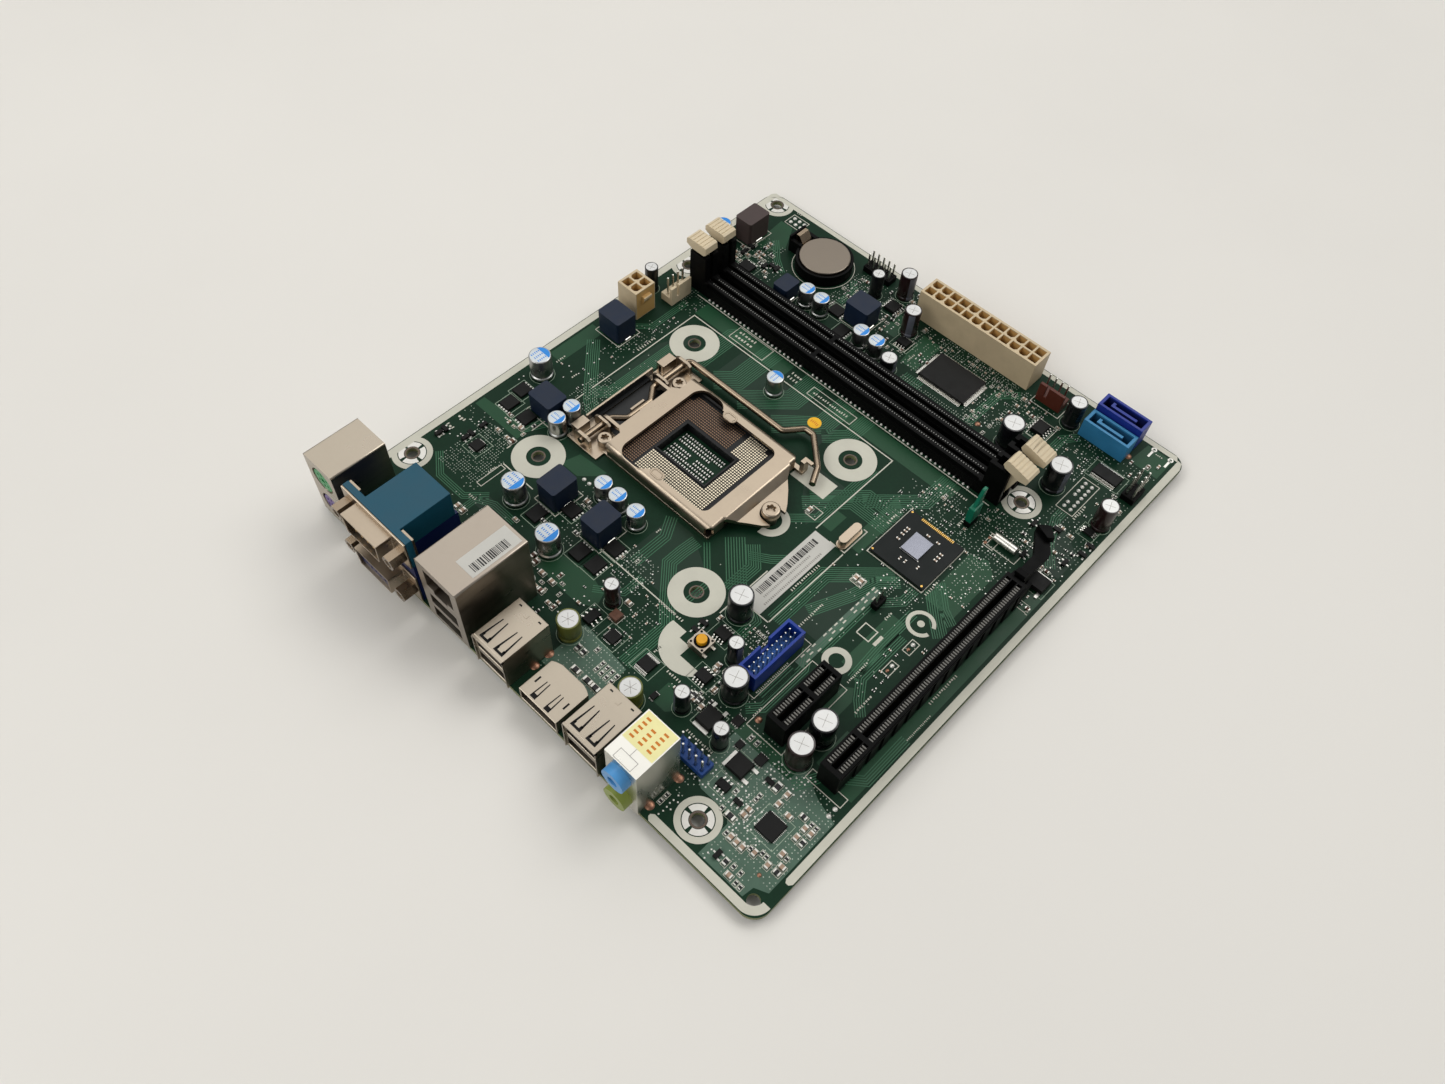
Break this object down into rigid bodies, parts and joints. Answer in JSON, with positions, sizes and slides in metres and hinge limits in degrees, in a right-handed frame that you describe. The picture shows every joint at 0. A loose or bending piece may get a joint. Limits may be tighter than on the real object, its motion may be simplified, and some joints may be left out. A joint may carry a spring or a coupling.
{
  "type": "desktop computer motherboard",
  "caption": "Compact desktop motherboard: land-grid processor socket with lever and load plate, latched memory slots, expansion slots, power headers and a rear port bank.",
  "frame": {"origin": "centre of the standoff hole beside the audio jacks, on the board's underside", "axes": "+Z out of the component face, +Y from the rear ports to the front edge, +X along the rear edge towards the expansion slots"},
  "size_m": [0.195, 0.2268, 0.0348],
  "materials": {
    "board_green": "glass-epoxy laminate under dark green solder mask, printed off-white",
    "steel_nickel": "warm nickel-plated stamped steel",
    "steel_plain": "plain steel plate",
    "film_black": "black insulating film",
    "socket_black": "dark glass-filled moulding",
    "contact_gold": "gold-plated spring contacts",
    "tin": "tin-plated leads",
    "slot_black": "black moulding",
    "latch_ivory": "ivory moulding",
    "power_ivory": "ivory-tan moulding",
    "brown": "brown moulding",
    "blue_royal": "royal blue moulding",
    "blue_light": "light blue moulding",
    "blue_navy": "navy blue moulding",
    "teal": "teal moulding",
    "green_jack": "green moulding",
    "purple_jack": "purple moulding",
    "jumper_green": "green moulding",
    "reset_grey": "switch cover",
    "button_yellow": "yellow plunger",
    "shell_silver": "plated connector shell",
    "shell_white": "bright plated shield",
    "jack_olive": "lime-olive moulding",
    "jack_blue": "light blue moulding",
    "insert_black": "black port insulators",
    "chip_black": "moulded chip package",
    "substrate": "dark package substrate",
    "die": "bare silicon die",
    "can_silver": "aluminium can, printed top",
    "can_sleeve": "shrink-sleeved aluminium can",
    "inductor_blue": "pressed-powder choke, navy",
    "crystal_can": "metal crystal can",
    "coin_steel": "stainless coin cell can"
  },
  "bodies": {
    "board": {"pcb": "board_green", "backplate_insulator": "film_black", "ilm_backplate": "steel_plain", "solder_tails": "tin", "socket_body": "socket_black", "socket_contacts": "contact_gold", "ilm_frame": "steel_nickel", "ilm_screws": "steel_nickel", "dimm_slot_a": "slot_black", "dimm_slot_b": "slot_black", "slot_contacts": "contact_gold", "pcie_x16_slot": "slot_black", "pcie_x1_slot": "slot_black", "main_power_header": "power_ivory", "cpu_power_header": "power_ivory", "power_header_pins": "tin", "cpu_fan_header": "latch_ivory", "chassis_fan_header": "brown", "pin_headers": "slot_black", "audio_header": "blue_royal", "usb3_header": "blue_royal", "header_pins": "contact_gold", "sata_port_light": "blue_light", "sata_port_dark": "blue_royal", "reset_switch_body": "reset_grey", "battery_holder": "slot_black", "ps2_shell": "shell_silver", "ps2_keyboard_socket": "purple_jack", "ps2_mouse_socket": "green_jack", "vga_housing": "blue_navy", "serial_housing": "teal", "dsub_shells": "steel_nickel", "jack_screws": "steel_nickel", "serial_pins": "contact_gold", "lan_usb_shell": "shell_silver", "usb_stack_shells": "shell_silver", "displayport_shell": "shell_silver", "port_inserts": "insert_black", "audio_jack_shell": "shell_white", "audio_jack_lower": "jack_olive", "audio_jack_upper": "jack_blue", "chipset_package": "substrate", "chipset_die": "die", "super_io_chip": "chip_black", "small_chips": "chip_black", "polymer_capacitors": "can_silver", "electrolytic_capacitors": "can_sleeve", "power_inductors": "inductor_blue", "crystals": "crystal_can"},
    "load_lever": {"load_lever": "steel_nickel"},
    "load_plate": {"load_plate": "steel_nickel"},
    "dimm_latch_a_left": {"dimm_latch_a_left": "latch_ivory"},
    "dimm_latch_a_right": {"dimm_latch_a_right": "latch_ivory"},
    "dimm_latch_b_left": {"dimm_latch_b_left": "latch_ivory"},
    "dimm_latch_b_right": {"dimm_latch_b_right": "latch_ivory"},
    "pcie_latch": {"pcie_x16_latch": "slot_black"},
    "reset_button": {"reset_plunger": "button_yellow"},
    "coin_cell": {"coin_cell": "coin_steel"},
    "battery_clip": {"battery_clip": "steel_nickel"},
    "jumper_cap": {"jumper_cap": "jumper_green"}
  },
  "joints": [
    {"name": "load_lever_hinge", "type": "hinge", "parent": "board", "child": "load_lever", "pos_m": [-0.12033, 0.08964, 0.0048], "axis": [0, -1, 0], "range_deg": [0, 130]},
    {"name": "load_plate_hinge", "type": "hinge", "parent": "board", "child": "load_plate", "pos_m": [-0.12033, 0.08964, 0.0048], "axis": [0, -1, 0], "range_deg": [0, 104]},
    {"name": "dimm_a_left_latch_hinge", "type": "hinge", "parent": "board", "child": "dimm_latch_a_left", "pos_m": [-0.14663, 0.15074, 0.0051], "axis": [0, -1, 0], "range_deg": [0, 20]},
    {"name": "dimm_a_right_latch_hinge", "type": "hinge", "parent": "board", "child": "dimm_latch_a_right", "pos_m": [-0.00803, 0.15074, 0.0051], "axis": [0, 1, 0], "range_deg": [-15, 5]},
    {"name": "dimm_b_left_latch_hinge", "type": "hinge", "parent": "board", "child": "dimm_latch_b_left", "pos_m": [-0.14663, 0.16054, 0.0051], "axis": [0, -1, 0], "range_deg": [0, 20]},
    {"name": "dimm_b_right_latch_hinge", "type": "hinge", "parent": "board", "child": "dimm_latch_b_right", "pos_m": [-0.00803, 0.16054, 0.0051], "axis": [0, 1, 0], "range_deg": [-15, 5]},
    {"name": "pcie_latch_hinge", "type": "hinge", "parent": "board", "child": "pcie_latch", "pos_m": [0.01877, 0.12444, 0.0048], "axis": [-1, 0, 0], "range_deg": [0, 15]},
    {"name": "reset_plunger_slide", "type": "slide", "parent": "board", "child": "reset_button", "axis": [0, 0, -1], "range_m": [0, 0.00025], "stiffness_N_per_m": 1000},
    {"name": "coin_cell_slide", "type": "slide", "parent": "board", "child": "coin_cell", "axis": [0, 0, 1], "range_m": [0, 0.012]},
    {"name": "battery_clip_flex", "type": "hinge", "parent": "board", "child": "battery_clip", "pos_m": [-0.13493, 0.19384, 0.0024], "axis": [0, -1, 0], "range_deg": [0, 6], "stiffness_Nm_per_rad": 0.05},
    {"name": "jumper_cap_slide", "type": "slide", "parent": "board", "child": "jumper_cap", "axis": [0, 0, 1], "range_m": [0, 0.008]}
  ],
  "couplings": [
    {"joint": "load_plate_hinge", "follows": "load_lever_hinge", "ratio": 0.8}
  ]
}
